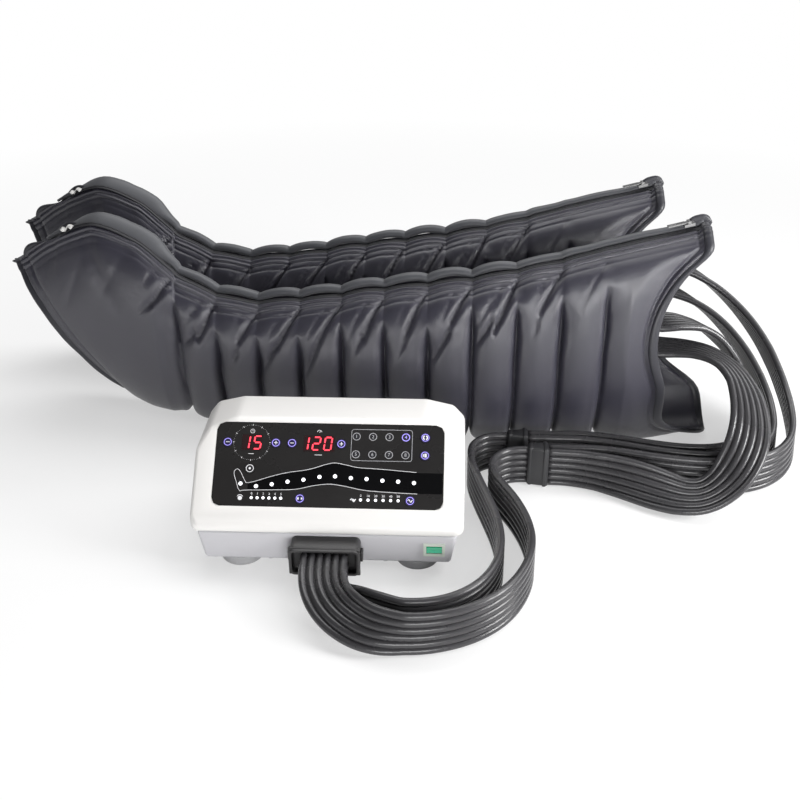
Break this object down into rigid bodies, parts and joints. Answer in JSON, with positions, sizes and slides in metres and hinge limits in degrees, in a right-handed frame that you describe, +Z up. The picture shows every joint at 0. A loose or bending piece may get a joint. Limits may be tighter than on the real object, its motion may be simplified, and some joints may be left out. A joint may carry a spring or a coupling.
{
  "type": "compression therapy pump",
  "caption": "Desktop air pump console with a sloping key panel, joined by flat multi-tube hoses and splitters to a pair of long chambered leg sleeves with zips.",
  "frame": {"origin": "On the table, under the middle of the box around the console and the two sleeves, hoses not counted.", "axes": "+X along the sleeves from toe to open end, +Y away from the person who faces the console, +Z up."},
  "size_m": [1.0618, 0.7107, 0.2985],
  "materials": {
    "cover_plastic": "satin moulded plastic",
    "base_plastic": "fine matt texture",
    "foot_rubber": "soft matt rubber",
    "screw_steel": "zinc plated",
    "panel_gloss": "glossy printed sheet",
    "lamp_lens": "diffusing light guide",
    "display_lens": "dark red filter",
    "key_plastic": "lit translucent cap",
    "switch_plastic": "moulded",
    "circuit_board": "solder mask",
    "socket_plastic": "moulded",
    "plug_plastic": "fine matt texture",
    "rocker_plastic": "translucent green",
    "inlet_plastic": "moulded",
    "pin_brass": "bright",
    "valve_plastic": "moulded",
    "gear_plastic": "moulded",
    "motor_steel": "drawn can",
    "pump_aluminium": "die cast",
    "mount_rubber": "moulded",
    "tube_silicone": "translucent silicone",
    "supply_steel": "folded cover",
    "sleeve_fabric": "coated satin nylon",
    "bladder_film": "welded film",
    "zip_fabric": "woven tape",
    "zip_metal": "plated",
    "port_rubber": "moulded",
    "hose_rubber": "satin extruded tube",
    "splitter_rubber": "moulded"
  },
  "bodies": {
    "root": {"top_cover": "cover_plastic", "base_tray": "base_plastic", "rubber_feet": "foot_rubber", "case_screws": "screw_steel", "chamber_lamps": "lamp_lens", "mode_lamps": "lamp_lens", "scale_lamps": "lamp_lens", "time_display": "display_lens", "pressure_display": "display_lens", "panel_overlay": "panel_gloss", "key_switches": "switch_plastic", "display_board": "circuit_board", "hose_socket": "socket_plastic", "power_switch_housing": "switch_plastic", "mains_inlet": "inlet_plastic", "inlet_pins": "pin_brass", "valve_housing": "valve_plastic", "valve_motor": "motor_steel", "pump_housing": "pump_aluminium", "pump_mounts": "mount_rubber", "outlet_tubes": "tube_silicone", "supply_tube": "tube_silicone", "power_supply": "supply_steel", "main_board": "circuit_board", "board_standoffs": "pin_brass", "hose_splitters": "splitter_rubber", "near_sleeve": "sleeve_fabric", "near_air_chambers": "bladder_film", "near_zip_tape": "zip_fabric", "near_port_block": "port_rubber", "near_hose_lower": "hose_rubber", "near_hose_upper": "hose_rubber", "far_sleeve": "sleeve_fabric", "far_air_chambers": "bladder_film", "far_zip_tape": "zip_fabric", "far_port_block": "port_rubber", "far_hose_lower": "hose_rubber", "far_hose_upper": "hose_rubber"},
    "time_minus_key": {"time_minus_key": "key_plastic"},
    "time_plus_key": {"time_plus_key": "key_plastic"},
    "pressure_minus_key": {"pressure_minus_key": "key_plastic"},
    "pressure_plus_key": {"pressure_plus_key": "key_plastic"},
    "single_chamber_key": {"single_chamber_key": "key_plastic"},
    "mode_key": {"mode_key": "key_plastic"},
    "start_key": {"start_key": "key_plastic"},
    "hold_key": {"hold_key": "key_plastic"},
    "interval_key": {"interval_key": "key_plastic"},
    "rocker": {"power_rocker": "rocker_plastic"},
    "plug": {"hose_plug": "plug_plastic", "plug_hose_upper": "hose_rubber", "plug_hose_lower": "hose_rubber"},
    "fuse_drawer": {"fuse_drawer": "inlet_plastic"},
    "armature": {"pump_armature": "motor_steel"},
    "rotor": {"valve_rotor": "gear_plastic"},
    "pinion": {"motor_pinion": "pin_brass"},
    "near_slider": {"near_zip_slider": "zip_metal"},
    "near_pull": {"near_zip_pull": "zip_metal"},
    "far_slider": {"far_zip_slider": "zip_metal"},
    "far_pull": {"far_zip_pull": "zip_metal"}
  },
  "joints": [
    {"name": "time_minus_press", "type": "slide", "parent": "root", "child": "time_minus_key", "axis": [0, 0.6691, -0.7431], "range_m": [0, 0.0006], "stiffness_N_per_m": 400},
    {"name": "time_plus_press", "type": "slide", "parent": "root", "child": "time_plus_key", "axis": [0, 0.6691, -0.7431], "range_m": [0, 0.0006], "stiffness_N_per_m": 400},
    {"name": "pressure_minus_press", "type": "slide", "parent": "root", "child": "pressure_minus_key", "axis": [0, 0.6691, -0.7431], "range_m": [0, 0.0006], "stiffness_N_per_m": 400},
    {"name": "pressure_plus_press", "type": "slide", "parent": "root", "child": "pressure_plus_key", "axis": [0, 0.6691, -0.7431], "range_m": [0, 0.0006], "stiffness_N_per_m": 400},
    {"name": "single_chamber_press", "type": "slide", "parent": "root", "child": "single_chamber_key", "axis": [0, 0.6691, -0.7431], "range_m": [0, 0.0006], "stiffness_N_per_m": 400},
    {"name": "mode_press", "type": "slide", "parent": "root", "child": "mode_key", "axis": [0, 0.6691, -0.7431], "range_m": [0, 0.0006], "stiffness_N_per_m": 400},
    {"name": "start_press", "type": "slide", "parent": "root", "child": "start_key", "axis": [0, 0.6691, -0.7431], "range_m": [0, 0.0006], "stiffness_N_per_m": 400},
    {"name": "hold_press", "type": "slide", "parent": "root", "child": "hold_key", "axis": [0, 0.6691, -0.7431], "range_m": [0, 0.0006], "stiffness_N_per_m": 400},
    {"name": "interval_press", "type": "slide", "parent": "root", "child": "interval_key", "axis": [0, 0.6691, -0.7431], "range_m": [0, 0.0006], "stiffness_N_per_m": 400},
    {"name": "power_rocker_tilt", "type": "hinge", "parent": "root", "child": "rocker", "pos_m": [0.1255, -0.274, 0.0305], "axis": [-1, 0, 0], "range_deg": [0, 14]},
    {"name": "hose_plug_pull", "type": "slide", "parent": "root", "child": "plug", "axis": [0, -1, 0], "range_m": [0, 0.018]},
    {"name": "fuse_drawer_slide", "type": "slide", "parent": "root", "child": "fuse_drawer", "axis": [0, 1, 0], "range_m": [0, 0.014]},
    {"name": "armature_stroke", "type": "slide", "parent": "root", "child": "armature", "axis": [1, 0, 0], "range_m": [-0.0015, 0.0015], "stiffness_N_per_m": 1500},
    {"name": "valve_turn", "type": "hinge", "parent": "root", "child": "rotor", "pos_m": [0.0075, -0.1965, 0.04], "axis": [0, 0, 1], "continuous": true},
    {"name": "pinion_turn", "type": "hinge", "parent": "root", "child": "pinion", "pos_m": [0.0075, -0.1677, 0.046], "axis": [0, 0, 1], "continuous": true},
    {"name": "near_zip_slide", "type": "slide", "parent": "root", "child": "near_slider", "axis": [-0.9707, -0.1317, -0.2011], "range_m": [0, 0.105]},
    {"name": "near_pull_swing", "type": "hinge", "parent": "near_slider", "child": "near_pull", "pos_m": [0.42407, 0.03532, 0.2965], "axis": [-0.1345, 0.9909, 0], "range_deg": [0, 150]},
    {"name": "far_zip_slide", "type": "slide", "parent": "root", "child": "far_slider", "axis": [-0.9707, -0.1317, -0.2011], "range_m": [0, 0.105]},
    {"name": "far_pull_swing", "type": "hinge", "parent": "far_slider", "child": "far_pull", "pos_m": [0.38907, 0.18532, 0.2965], "axis": [-0.1345, 0.9909, 0], "range_deg": [0, 150]}
  ],
  "couplings": [
    {"joint": "pinion_turn", "follows": "valve_turn", "ratio": -5}
  ]
}
